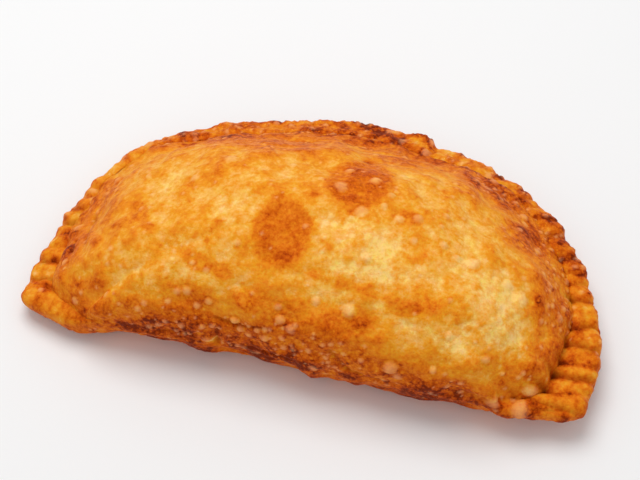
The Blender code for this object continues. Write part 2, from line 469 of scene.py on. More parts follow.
class Plan:
    """The outline and all that the cross-sections need, at even steps round the pastry."""

    def __init__(self):
        start = math.radians(OUTLINE_START)
        samples = np.linspace(start, start + math.tau, OUTLINE_SAMPLES + 1)
        x, y = outline_points(samples)
        travelled = np.concatenate([[0.0], np.cumsum(np.hypot(np.diff(x), np.diff(y)))])
        self.length = travelled[-1]
        self.along = np.arange(STATIONS) * self.length / STATIONS
        angles = np.interp(self.along, travelled, samples)
        x, y = outline_points(angles)
        self.reach = np.hypot(x, y)
        self.direction = (x / self.reach, y / self.reach)
        self.turn = np.degrees(np.unwrap(np.arctan2(y, x)))
        lean = np.degrees(np.arcsin(self.direction[1]))
        self.back = np.maximum(np.sin(angles), 0.0) ** 1.5
        beside_rim = self.reach - mix(RIM_WIDTH_SIDE, RIM_WIDTH_BACK, self.back)
        end = np.where(self.direction[0] > 0.0, BODY_RIGHT_END, BODY_LEFT_END)
        share = rounded_reach(self.direction, end, BODY_SQUARENESS)
        share = share / rounded_reach(self.direction, HALF_LENGTH, PLAN_SQUARENESS)
        in_front = smooth_step(BODY_CORNER[0], BODY_CORNER[1], lean)
        self.body_reach = mix(beside_rim, self.reach * share, in_front)
        self.body_reach += swell_towards(self.turn, BODY_SWELLS)
        self.seal = smooth_step(SEAL_START, SEAL_END, self.reach - self.body_reach)
        front = smooth_step(FRONT_TURNS[0], FRONT_TURNS[1], lean)
        self.powers = [
            mix(mix(side, rear, self.back), fore, front)
            for fore, side, rear in zip(FRONT_FULLNESS, SIDE_FULLNESS, BACK_FULLNESS)
        ]
        side = smooth_step(-HALF_LENGTH, HALF_LENGTH, x)
        side = mix(RIM_MIDDLE_LEFT, RIM_MIDDLE_RIGHT, side)
        self.rim_middle = mix(side, RIM_MIDDLE_BACK, self.back)

    def at(self, turn, values):
        """Values of the stations at these turns, which may lie anywhere round the circle."""
        start = self.turn[0]
        known = np.append(self.turn - start, 360.0)
        return np.interp((turn - start) % 360.0, known, np.append(values, values[0]))

    def along_at(self, turn):
        start = self.turn[0]
        known = np.append(self.turn - start, 360.0)
        return np.interp((turn - start) % 360.0, known, np.append(self.along, self.length))


def dome_height(plan, floor, spread):
    """The dome's height at this share of its reach, over a floor that may vary round it."""
    out_power, up_power = plan.powers
    rise = np.maximum(1.0 - spread**out_power, 0.0) ** up_power
    return mix(floor, TOP_HEIGHT, rise)


def fold_section(plan, degrees):
    """The rolled fold: an upright rounded section above its widest line, tucked in below it."""
    spread = np.cos(np.radians(degrees))
    above = (plan.reach * spread, dome_height(plan, FOLD_HEIGHT, spread))
    foot = plan.reach * FOLD_BASE_SHARE
    lift = np.sin(np.radians(degrees))
    below = (mix(foot, plan.reach, spread), FOLD_HEIGHT * (1.0 + lift))
    return [np.where(degrees >= 0.0, a, b) for a, b in zip(above, below)]


def blend(plan, sealed, degrees):
    """The fold's section where the edge is folded, and the sealed one where it has a rim."""
    return [mix(a, b, plan.seal) for a, b in zip(fold_section(plan, degrees), sealed)]


def dome_ring(plan, share):
    foot = mix(FOLD_FOOT_ANGLE, 0.0, plan.seal)
    spread = np.cos(np.radians(mix(90.0, foot, share)))
    reach = mix(plan.reach, plan.body_reach, plan.seal)
    groove = plan.rim_middle + RIM_THICKNESS / 2.0 - GROOVE_DEPTH
    return reach * spread, dome_height(plan, mix(FOLD_HEIGHT, groove, plan.seal), spread)


def rim_ring(plan, share):
    outer = plan.reach - RIM_THICKNESS / 2.0
    groove = plan.rim_middle + RIM_THICKNESS / 2.0 - GROOVE_DEPTH
    height = groove + GROOVE_DEPTH * smooth_step(0.0, 0.5, share)
    sealed = (mix(plan.body_reach, outer, share), height)
    foot = mix(FOLD_FOOT_ANGLE, 0.0, plan.seal)
    return blend(plan, sealed, mix(foot, EDGE_ANGLE, share))


def edge_ring(plan, share):
    turn = math.radians(mix(90.0, -90.0, share))
    radius = RIM_THICKNESS / 2.0
    sealed = (
        plan.reach - radius + radius * math.cos(turn),
        plan.rim_middle + radius * math.sin(turn),
    )
    return blend(plan, sealed, mix(EDGE_ANGLE, -EDGE_ANGLE, share))


def underside_ring(plan, share):
    outer = plan.reach - RIM_THICKNESS / 2.0
    root = plan.body_reach - ROOT_OVERHANG
    sealed = (mix(outer, root, share), plan.rim_middle - RIM_THICKNESS / 2.0)
    return blend(plan, sealed, mix(-EDGE_ANGLE, UNDERSIDE_ANGLE, share))


def belly_ring(plan, share):
    turn = share * math.pi / 2.0
    root = plan.body_reach - ROOT_OVERHANG
    foot = plan.body_reach * BASE_SHARE
    height = (plan.rim_middle - RIM_THICKNESS / 2.0) * (1.0 - math.sin(turn))
    sealed = (mix(foot, root, math.cos(turn)), height)
    return blend(plan, sealed, mix(UNDERSIDE_ANGLE, -90.0, share))


def base_ring(plan, share):
    out, height = belly_ring(plan, 1.0)
    return out * (1.0 - share), height


def section_rings(plan):
    """(out, height) of each ring of the body, from the top of the dome down to the base."""
    rings = []
    for name, ring, first, last in (
        ("dome", dome_ring, 1, 1.0),
        ("rim", rim_ring, 1, 1.0),
        ("edge", edge_ring, 1, 0.9),
        ("underside", underside_ring, 0, 1.0),
        ("belly", belly_ring, 1, 1.0),
        ("base", base_ring, 1, 0.9),
    ):
        count = RINGS[name]
        for i in range(count):
            share = (i + first) / (count - 1 + first) * last
            rings.append(ring(plan, share))
    return rings


def body_form(plan):
    """The pastry's plain form as a bmesh in millimetres: a ball, shaped ring by ring."""
    rings = section_rings(plan)
    form = bmesh.new()
    bmesh.ops.create_uvsphere(form, u_segments=STATIONS, v_segments=len(rings) + 1, radius=1.0)
    out = np.array([ring[0] for ring in rings])
    height = np.array([ring[1] * np.ones(STATIONS) for ring in rings])
    x = CENTRE[0] + out * plan.direction[0]
    y = CENTRE[1] + out * plan.direction[1]
    for vertex in form.verts:
        down = math.acos(min(max(vertex.co.z, -1.0), 1.0))
        ring = round(down / math.pi * (len(rings) + 1)) - 1
        if ring < 0 or ring == len(rings):
            vertex.co = (CENTRE[0], CENTRE[1], TOP_HEIGHT if ring < 0 else 0.0)
            continue
        share = math.atan2(vertex.co.y, vertex.co.x) / math.tau
        station = round(share * STATIONS) % STATIONS
        vertex.co = (x[ring, station], y[ring, station], height[ring, station])
    bmesh.ops.recalc_face_normals(form, faces=form.faces)
    return form


def even_skin(form):
    """An even net of small quads over the form: fine above and round the rim, coarse below."""
    data = bpy.data.meshes.new("skin")
    form.to_mesh(data)
    helper = bpy.data.objects.new("skin", data)
    bpy.context.scene.collection.objects.link(helper)
    remesh = helper.modifiers.new("Remesh", "REMESH")
    remesh.mode = "VOXEL"
    remesh.voxel_size = VOXEL
    graph = bpy.context.evaluated_depsgraph_get()
    skin = bmesh.new()
    skin.from_mesh(helper.evaluated_get(graph).to_mesh())
    bpy.data.objects.remove(helper, do_unlink=True)
    bpy.data.meshes.remove(data)
    skin.normal_update()
    fine = [
        edge
        for edge in skin.edges
        if any(face.normal.z > COARSE_BELOW for face in edge.link_faces)
    ]
    bmesh.ops.subdivide_edges(skin, edges=fine, cuts=1, use_grid_fill=True)
    tree = BVHTree.FromBMesh(form)
    for _ in range(SMOOTHING_ROUNDS):
        bmesh.ops.smooth_vert(
            skin, verts=skin.verts, factor=0.5, use_axis_x=True, use_axis_y=True, use_axis_z=True
        )
        for vertex in skin.verts:
            vertex.co = tree.find_nearest(vertex.co)[0]
    bmesh.ops.recalc_face_normals(skin, faces=skin.faces)
    return skin


# ---------------------------------------------------------------- relief


def noise_at(places, size, octaves=3, shift=0.0):
    """Soft noise with a spread of 1, whose largest lumps are about this size across."""
    points = places / size + shift
    values = np.array([noise.fractal(Vector(p), 0.9, 2.0, octaves) for p in points])
    return (values - values.mean()) / values.std()


def froth_at(places, size, shift=0.0):
    """Round cells about this size across: 1 in the middle of a cell, 0 at its edge."""
    points = places / size + shift
    near = np.array([noise.voronoi(Vector(p))[0][:2] for p in points])
    return np.clip((near[:, 1] - near[:, 0]) * 2.0, 0.0, 1.0)


def eased(places, table):
    """The table's value at each place, easing from one row to the next."""
    rows = np.array(table)
    after = np.clip(np.searchsorted(rows[:, 0], places), 1, len(rows) - 1)
    low, high = rows[after - 1], rows[after]
    return mix(low[:, 1], high[:, 1], smooth_step(low[:, 0], high[:, 0], places))


def distance_to_line(places, start, end):
    """How far each place is from the straight line between two points."""
    run = end - start
    share = np.clip((places - start) @ run / max(run @ run, 1e-9), 0.0, 1.0)
    return np.linalg.norm(places - start - share[:, None] * run, axis=1)


class Skin:
    """The vertices of the crust, with where each lies on the pastry."""

    def __init__(self, mesh, plan):
        self.count = len(mesh.vertices)
        places = np.empty(self.count * 3, np.float32)
        mesh.vertices.foreach_get("co", places)
        self.places = places.reshape(-1, 3).astype(float)
        normals = np.empty(self.count * 3, np.float32)
        mesh.vertex_normals.foreach_get("vector", normals)
        self.normals = normals.reshape(-1, 3).astype(float)
        self.x, self.y, self.z = self.places.T
        self.up = self.normals[:, 2]
        x, y = self.x - CENTRE[0], self.y - CENTRE[1]
        turn = np.degrees(np.arctan2(y, x))
        self.turn = turn
        self.out = np.stack([x, y], 1) / np.maximum(np.hypot(x, y), 1e-6)[:, None]
        self.along = plan.along_at(turn)
        past_end = self.along > LAST_RIM_PLACE
        self.along_rim = np.where(past_end, self.along - plan.length, self.along)
        self.edge = plan.at(turn, plan.reach) - np.hypot(x, y)
        self.rim_width = np.maximum(plan.at(turn, plan.reach - plan.body_reach), 1.0)
        self.seal = plan.at(turn, plan.seal)
        self.back = plan.at(turn, plan.back)
        self.over_rim = self.z - plan.at(turn, plan.rim_middle)
        self.beside = self.edge - self.rim_width
        self.fold = (1.0 - self.seal) * smooth_step(-24.0, -32.0, self.y)
        self.rim = self.seal * smooth_step(1.5, -0.5, self.beside)
        self.broad = noise_at(self.places, BROAD_SIZE, 2, 1.5)
        self.wobble = noise_at(self.places, WOBBLE_SIZE, 2, 4.0)
        self.fleck = noise_at(self.places, FLECK_SIZE, 2, 7.5)
        self.grain = noise_at(self.places, GRAIN_SIZE, 2, 2.5)

    def nearest(self, allowed, gaps):
        return self.places[np.argmin(np.where(allowed, gaps, np.inf))]

    def from_above(self, x, y):
        """The place on the crust that shows at x and y from above."""
        return self.nearest(self.up > 0.0, np.hypot(self.x - x, self.y - y))

    def from_the_front(self, x, height):
        """The place on the fold that shows at x and this height from the front."""
        on_fold = (self.normals[:, 1] < -0.2) & (self.y < -24.0)
        return self.nearest(on_fold, np.hypot(self.x - x, self.z - height))


def all_crimps(chance):
    """The named crimps at both ends, with chance ones between them along the back."""
    crimps = list(RIGHT_CRIMPS)
    while crimps[-1][1] < LEFT_CRIMPS[0][1] - BACK_PITCH[1]:
        root = crimps[-1][1] + chance.uniform(*BACK_PITCH)
        edge = root + chance.uniform(-1.0, 1.0)
        crimps.append((root, edge, chance.uniform(*BACK_DEPTH), 0.0))
    return np.array(crimps + list(LEFT_CRIMPS))


def press_crimps(skin, crimps):
    """How far the crimps lower each vertex, the ridges between them, and how much painted shade
    lies down in a crimp's mark or pit.
    """
    across = np.clip(skin.edge / skin.rim_width, 0.0, 1.2)
    along = skin.along_rim + 0.35 * skin.wobble + 0.25 * skin.fleck
    lines = crimps[:, 1] + np.outer(across, crimps[:, 0] - crimps[:, 1])
    after = np.clip((lines < along[:, None]).sum(axis=1), 1, len(crimps) - 1)
    rows = np.arange(skin.count)
    start, end = lines[rows, after - 1], lines[rows, after]
    share = (along - start) / (end - start)
    outside = np.where(share < 0.0, start - along, np.where(share > 1.0, along - end, 0.0))
    share = np.clip(share, 0.0, 1.0)
    ridge = (4.0 * share * (1.0 - share)) ** CRIMP_ROUNDNESS
    press = (1.0 - ridge) * bell(outside, 1.6)
    depth = mix(crimps[after - 1, 2], crimps[after, 2], smooth_step(0.3, 0.7, share))
    top = skin.seal * smooth_step(-1.6, 0.6, skin.over_rim)
    across = smooth_step(1.6, -0.8, skin.beside)
    nearest = np.where(share < 0.5, after - 1, after)
    apart = np.abs(along - lines[rows, nearest])
    pit = crimps[nearest, 3] * bell(apart, 1.3) * bell(skin.beside + 0.3, 1.7) * top
    lower = (depth * press * across + PIT_DEPTH * pit * 0.6) * top
    # The mark and the pit carry painted shade down in the crimp's groove.
    mark = bell(apart, 0.9) * smooth_step(0.35, 1.1, depth) * smooth_step(0.6, -0.8, skin.beside)
    mark = mark * smooth_step(0.0, 2.0, skin.edge) * top
    return lower, ridge * skin.rim, np.clip(0.55 * mark + pit, 0.0, 1.0)


def raise_ridges(skin):
    """The named ridges and cracks: how far they lift each vertex, and how much painted shade lies
    in a hollow or crack there.
    """
    lift, deep = np.zeros(skin.count), np.zeros(skin.count)
    marks = [(skin.from_above, mark) for mark in TOP_MARKS]
    marks += [(skin.from_the_front, mark) for mark in FOLD_MARKS]
    for find, (start, end, width, height, dark) in marks:
        apart = distance_to_line(skin.places, find(*start), find(*end))
        cover = bell(apart + 0.12 * skin.fleck, width)
        lift += height * cover
        # Painted shade in the hollows and cracks.
        deep = np.maximum(deep, dark * cover**1.5)
    return lift, deep


def patch_cover(skin, patches, softness):
    """The sum of soft-edged ovals over the crust, their edges made ragged by the noise."""
    total = np.zeros(skin.count)
    ragged = 0.04 * skin.wobble + 0.06 * skin.fleck + 0.05 * skin.grain
    for x, y, half_x, half_y, turn, strength in patches:
        c, s = math.cos(math.radians(turn)), math.sin(math.radians(turn))
        dx, dy = skin.x - x, skin.y - y
        reach = np.hypot((dx * c + dy * s) / half_x, (dy * c - dx * s) / half_y) + ragged
        total += strength * smooth_step(1.0 + softness, 1.0 - softness, reach)
    return total * smooth_step(0.0, 0.3, skin.up)


def fold_band(skin):
    """The browned, frothy band along the fold: 1 below its wavy upper line."""
    line = eased(skin.x, FOLD_LINE)
    height = skin.z + 1.0 * skin.wobble + 0.8 * skin.fleck
    return skin.fold * smooth_step(line + 3.5, line - 3.5, height)


def froth_cover(skin, patches):
    """Where the crust is frothy, from 0 to 1."""
    band = 0.9 * fold_band(skin) * smooth_step(5.0, 13.0, skin.z)
    band = band * smooth_step(-64.0, -46.0, skin.x)
    right = smooth_step(105.0, 75.0, skin.along_rim) * smooth_step(18.0, 30.0, skin.along_rim)
    shoulder = bell(skin.beside - 2.0, 3.6) * skin.seal * mix(0.15, 1.0, right)
    behind = skin.rim * skin.back
    return np.clip(0.06 + band + shoulder + behind + 0.4 * patches, 0.0, 1.0)


def scatter_blisters(skin, froth):
    """(place, radius, height) of the blisters: the named ones, then others thrown by chance."""
    chance = np.random.default_rng(BLISTER_SEED)
    draws, sizes = chance.random(skin.count), chance.random(skin.count)
    clump = smooth_step(0.2, 1.4, skin.wobble)
    density = 0.005 + 0.11 * froth * (1.0 - 0.3 * skin.fold) + 0.012 * clump
    density = density * smooth_step(-0.5, -0.1, skin.up)
    chosen = np.nonzero(draws < density * VERTEX_AREA)[0]
    blisters = [(skin.from_above(x, y), *size) for x, y, *size in TOP_BLISTERS]
    blisters += [(skin.from_the_front(x, z), *size) for x, z, *size in FOLD_BLISTERS]
    radii = 0.42 + 0.35 * sizes[chosen] + 0.6 * sizes[chosen] ** 6
    chosen, radii = chosen[np.argsort(-radii)], np.sort(radii)[::-1]
    places = [place for place, _, _ in blisters]
    reaches = [radius for _, radius, _ in blisters]
    for vertex, radius in zip(chosen, radii):
        place = skin.places[vertex]
        gaps = np.linalg.norm(np.array(places) - place, axis=1)
        if np.any(gaps < 0.8 * (np.array(reaches) + radius)):
            continue
        places.append(place)
        reaches.append(radius)
        blisters.append((place, radius, radius * chance.uniform(0.2, 0.45)))
    return blisters


def raise_blisters(skin, blisters):
    """How far the blisters lift each vertex, and how near the top or the foot of one it lies."""
    tree = kdtree.KDTree(skin.count)
    for i, place in enumerate(skin.places):
        tree.insert(place, i)
    tree.balance()
    lift, top, foot = np.zeros((3, skin.count))
    for place, radius, height in blisters:
        for _, i, distance in tree.find_range(place, radius * BLISTER_FOOT):
            share = distance / radius * (1.0 + 0.08 * skin.grain[i])
            if share < 1.0:
                lift[i] = max(lift[i], height * (1.0 - share * share) ** 1.2)
                top[i] = max(top[i], 1.0 - share * share)
            else:
                ring = math.sin(min((share - 1.0) / (BLISTER_FOOT - 1.0), 1.0) * math.pi)
                foot[i] = max(foot[i], ring * min(height / 0.4, 1.0))
    foot[top > 0.0] = 0.0
    return lift - BLISTER_FOOT_DEPTH * foot, top, foot


def root_fill(skin):
    """How far the dough fills the corner between the body and the rim."""
    side = mix(ROOT_FILL_LEFT, ROOT_FILL_RIGHT, smooth_step(-45.0, 45.0, skin.x))
    fill = mix(side, ROOT_FILL_BACK, skin.back)
    return fill * skin.seal * bell(skin.beside + 0.5, ROOT_FILL_WIDTH)


def unevenness(skin, froth, cells, pleats):
    """How high the lumps, flecks, pleats and froth of the dough stand."""
    height = (BROAD_HEIGHT * skin.broad + WOBBLE_HEIGHT * skin.wobble) * (1.0 - 0.6 * skin.rim)
    height += FLECK_HEIGHT * skin.fleck + GRAIN_HEIGHT * skin.grain + PLEAT_HEIGHT * pleats
    height += FROTH_HEIGHT * (cells - 0.6) * froth * (1.0 - 0.4 * skin.fold)
    return height


def edge_shift(skin, lower):
    """How far the edge stands out in its lobes, or is drawn in by its nicks and crimps."""
    outward = swell_towards(skin.turn, EDGE_LOBES) - CRIMP_SCALLOP * lower
    outward = outward * smooth_step(9.0, 1.5, skin.edge)
    return outward * smooth_step(0.0, 3.0, skin.z) * smooth_step(20.0, 12.0, skin.z)


def shape_crust(skin, settings):
    """Moves the vertices to the crust's relief. Returns the fields that its colours need."""
    crisp = patch_cover(skin, CRISP_PATCHES, CRISP_SOFTNESS)
    patches = crisp + patch_cover(skin, PATCHES, PATCH_SOFTNESS)
    froth = froth_cover(skin, patches)
    crimps = all_crimps(np.random.default_rng(CRIMP_SEED))
    lower, ridge, mark = press_crimps(skin, crimps)
    lift, deep = raise_ridges(skin)
    cells = froth_at(skin.places + 0.15 * skin.fleck[:, None], FROTH_SIZE, 3.0)
    bubbles, top, foot = raise_blisters(skin, scatter_blisters(skin, froth))
    pleats = noise_at(skin.places * (PLEAT_STRETCH, 1.0, 1.0), PLEAT_SIZE, 2, 6.0)
    pleats = pleats * skin.fold * smooth_step(17.0, 11.0, skin.z)
    relief = lift + bubbles * settings.blister_height
    relief += unevenness(skin, froth, cells, pleats) + root_fill(skin)
    relief = relief * smooth_step(-0.95, -0.3, skin.up)
    move = skin.normals * relief[:, None]
    move[:, 2] -= lower * settings.crimp_depth
    move[:, :2] += skin.out * edge_shift(skin, lower)[:, None]
    low, high = (np.array(corner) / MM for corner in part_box("empanada"))
    skin.places = np.clip(skin.places + move, low, high)
    even = smooth_step(0.0, 0.3, crisp)
    return {
        "patches": patches,
        "even": even,
        "pale": patch_cover(skin, PALE_PATCHES, PALE_SOFTNESS) * (1.0 - even),
        "ridge": ridge,
        "froth": froth,
        "gaps": froth * (1.0 - cells) ** 2,
        "top": top,
        "foot": foot,
        "pleats": pleats,
        # Painted shade in the crimps' grooves and pits and in the named hollows and cracks.
        "crease_shade": np.maximum((0.8 - 0.4 * skin.back) * mark, 0.5 * deep),
    }


def dough_tone(skin, fields, right, uneven):
    """The tone of the dome: its patches, and browner towards the rim and the fold."""
    tone = DOUGH_TONE + (0.06 * skin.broad + 0.05 * skin.wobble) * uneven
    tone += 0.03 * smooth_step(-5.0, 15.0, skin.y)
    tone += fields["patches"]
    tone += 0.14 * smooth_step(-38.0, -58.0, skin.x)
    tone += 0.26 * smooth_step(14.0, 2.0, skin.beside) * skin.seal * right
    tone += 0.10 * smooth_step(8.0, 0.0, skin.beside) * skin.seal * (1.0 - right)
    tone += 0.10 * smooth_step(20.0, 6.0, skin.beside) * skin.seal * skin.back
    line = eased(skin.x, FOLD_LINE)
    return tone + 0.10 * smooth_step(line + 9.0, line, skin.z) * skin.fold


def band_tone(skin, fields):
    """The tone of the browned band along the fold."""
    line = eased(skin.x, FOLD_LINE)
    tone = BAND_TONE + 0.10 * smooth_step(line - 2.0, line - 12.0, skin.z) + 0.06 * skin.wobble
    # Painted shade: darker down in the pleats' valleys, lighter on their crests.
    return tone - 0.04 * fields["pleats"] + 0.14 * smooth_step(15.0, 38.0, skin.x)


def rim_tone(skin, fields, right):
    """The tone of the rim: lighter on the ridges between the crimps, as painted light on their
    tops, and lighter at the left-hand end.
    """
    tone = RIM_TONE + 0.05 * skin.wobble + 0.04 * skin.fleck
    # Painted light on the crimps' ridges, leaving their grooves darker.
    tone += mix(mix(-0.16, -0.20, right), -0.08, skin.back) * fields["ridge"]
    return tone - 0.10 * smooth_step(-30.0, -60.0, skin.x) + 0.02 * skin.back


def brown_and_shade_field(skin, fields):
    """How browned the crust is, from 0 for pale dough to 1 for dark brown, with painted shade at
    the blisters' feet, the froth gaps and the pleat valleys, and painted light on the blister
    tops, the crimp ridges and the lip.
    """
    right = smooth_step(30.0, 55.0, skin.x)
    uneven = 1.0 - 0.5 * fields["even"]
    tone = dough_tone(skin, fields, right, uneven)
    tone = mix(tone, band_tone(skin, fields), fold_band(skin))
    bleed = skin.back * smooth_step(52.0, 30.0, skin.x)
    reach = skin.beside + bleed * (1.8 * skin.wobble + 1.3 * skin.fleck - 4.2)
    rim_cover = np.maximum(skin.rim, skin.seal * smooth_step(1.5, -0.8, reach))
    tone = mix(tone, rim_tone(skin, fields, right), rim_cover)
    tone += (0.06 * skin.fleck + 0.04 * skin.grain) * uneven
    spots = [(skin.from_above(x, y), *look) for x, y, *look in TOP_SPOTS]
    spots += [(skin.from_the_front(x, z), *look) for x, z, *look in FOLD_SPOTS]
    for place, radius, change in spots:
        tone += change * bell(np.linalg.norm(skin.places - place, axis=1), radius)
    # Painted shade in the moat round each blister's foot and in the gaps between froth cells;
    # blister tops paler, partly thinner skin and partly a painted highlight.
    tone += 0.08 * fields["foot"] + 0.06 * fields["gaps"] - 0.10 * fields["top"]
    tone -= fields["pale"]
    below = smooth_step(-0.2, -0.8, skin.up)
    return np.clip(mix(tone, UNDERSIDE_TONE + 0.05 * skin.wobble, below), 0.0, 1.0)


# ---------------------------------------------------------------- material


def linear(red, green, blue):
    """A colour given in display values from 0 to 255, as the scene-linear colour."""
    shares = [value / 255.0 for value in (red, green, blue)]
    return tuple(s / 12.92 if s <= 0.04045 else ((s + 0.055) / 1.055) ** 2.4 for s in shares)


def node(tree, kind, place, **values):
    made = tree.nodes.new(kind)
    made.location = (place[0] * 200.0, place[1] * -220.0)
    for name, value in values.items():
        if name in made.inputs:
            made.inputs[name].default_value = value
        else:
            setattr(made, name, value)
    return made


def attribute_node(tree, name, place):
    return node(tree, "ShaderNodeAttribute", place, attribute_name=name).outputs["Fac"]


def maths(tree, operation, place, *terms, clamp=False):
    made = node(tree, "ShaderNodeMath", place, operation=operation, use_clamp=clamp)
    for socket, term in zip(made.inputs, terms):
        if isinstance(term, (int, float)):
            socket.default_value = term
        else:
            tree.links.new(term, socket)
    return made.outputs[0]


def noise_node(tree, vector, scale, detail, place, roughness=0.55):
    made = node(
        tree, "ShaderNodeTexNoise", place, Scale=scale, Detail=detail, Roughness=roughness
    )
    tree.links.new(vector, made.inputs["Vector"])
    return made.outputs["Fac"]


def blend_colour(tree, share, first, second, place, blend_type="MIX"):
    made = node(tree, "ShaderNodeMix", place, data_type="RGBA", blend_type=blend_type)
    sockets = (made.inputs[0], made.inputs[6], made.inputs[7])
    for socket, value in zip(sockets, (share, first, second)):
        if isinstance(value, (int, float, tuple)):
            socket.default_value = value
        else:
            tree.links.new(value, socket)
    return made.outputs[2]


def colour_ramp(tree, share, stops, place):
    """A ramp of colours. The first two stops are its ends, because a new ramp has those."""
    made = node(tree, "ShaderNodeValToRGB", place)
    elements = made.color_ramp.elements
    for i, (position, colour) in enumerate(stops):
        element = elements[i] if i < 2 else elements.new(position)
        element.position = position
        element.color = (*colour, 1.0)
    tree.links.new(share, made.inputs[0])
    return made.outputs[0]


def bubbles(tree, vector, scale, row):
    """Tiny round bubbles: each cell of the pattern has one, some bright and most faint."""
    cells = node(tree, "ShaderNodeTexVoronoi", (1, 6 + row), Scale=scale, Randomness=1.0)
    tree.links.new(vector, cells.inputs["Vector"])
    apart = cells.outputs["Distance"]
    cap = maths(tree, "MULTIPLY_ADD", (2, 6 + row), apart, -2.6, 1.0, clamp=True)
    parts = node(tree, "ShaderNodeSeparateColor", (2, 8 + row))
    tree.links.new(cells.outputs["Color"], parts.inputs["Color"])
    return maths(tree, "MULTIPLY", (3, 6 + row), cap, parts.outputs["Red"])


def ring_blisters(tree, vector, scale):
    """Change of tone for flat little blisters: a pale middle with a browner ring round it."""
    warp = node(tree, "ShaderNodeTexNoise", (1, 10), Scale=scale * 2.0, Detail=1.0)
    tree.links.new(vector, warp.inputs["Vector"])
    bent = node(tree, "ShaderNodeVectorMath", (2, 10), operation="MULTIPLY_ADD")
    tree.links.new(warp.outputs["Color"], bent.inputs[0])
    bent.inputs[1].default_value = (0.5 / scale,) * 3
    tree.links.new(vector, bent.inputs[2])
    cells = node(tree, "ShaderNodeTexVoronoi", (3, 10), Scale=scale, Randomness=1.0)
    tree.links.new(bent.outputs[0], cells.inputs["Vector"])
    parts = node(tree, "ShaderNodeSeparateColor", (4, 11))
    tree.links.new(cells.outputs["Color"], parts.inputs["Color"])
    size = maths(tree, "MULTIPLY_ADD", (5, 11), parts.outputs["Green"], 0.2, 0.18)
    reach = maths(tree, "DIVIDE", (5, 10), cells.outputs["Distance"], size)
    shown = maths(tree, "MULTIPLY_ADD", (5, 12), parts.outputs["Red"], 2.5, -1.4, clamp=True)
    middle = maths(tree, "MULTIPLY_ADD", (6, 10), reach, -1.6, 1.2, clamp=True)
    away = maths(tree, "ABSOLUTE", (7, 11), maths(tree, "SUBTRACT", (6, 11), reach, 1.0))
    ring = maths(tree, "MULTIPLY_ADD", (8, 11), away, -2.6, 1.0, clamp=True)
    change = maths(tree, "MULTIPLY_ADD", (8, 10), middle, -0.9, ring)
    change = maths(tree, "MULTIPLY", (9, 10), change, shown)
    return maths(tree, "MULTIPLY", (10, 10), change, RING_SWING)


def crust_colour(tree, place, tone, colours):
    """The colour of this tone, with yellower and pinker flecks."""
    stops = (
        (0.0, tuple(colours.pale)),
        (1.0, tuple(colours.dark)),
        (0.18, tuple(colours.cream)),
        (0.38, tuple(colours.golden)),
        (0.56, tuple(colours.amber)),
        (0.74, tuple(colours.brown)),
        (0.88, tuple(colours.deep)),
    )
    colour = colour_ramp(tree, tone, stops, (6, 1))
    tints = ((0.3, tuple(colours.yellow_tint)), (0.7, tuple(colours.peach_tint)))
    fleck = noise_node(tree, place, TINT_SCALE, 3.0, (6, 2), 0.6)
    tint = colour_ramp(tree, fleck, tints, (6, 0))
    return blend_colour(tree, 1.0, colour, tint, (7, 0), "MULTIPLY")


def set_finish(shader):
    """A dull, slightly translucent finish with a warm shine."""
    shader.inputs["IOR"].default_value = 1.45
    shader.inputs["Specular IOR Level"].default_value = 0.06
    shader.inputs["Specular Tint"].default_value = (1.0, 0.62, 0.3, 1.0)
    shader.inputs["Subsurface Weight"].default_value = 0.15
    shader.inputs["Subsurface Radius"].default_value = (1.0, 0.4, 0.12)
    shader.inputs["Subsurface Scale"].default_value = 1.2 * MM


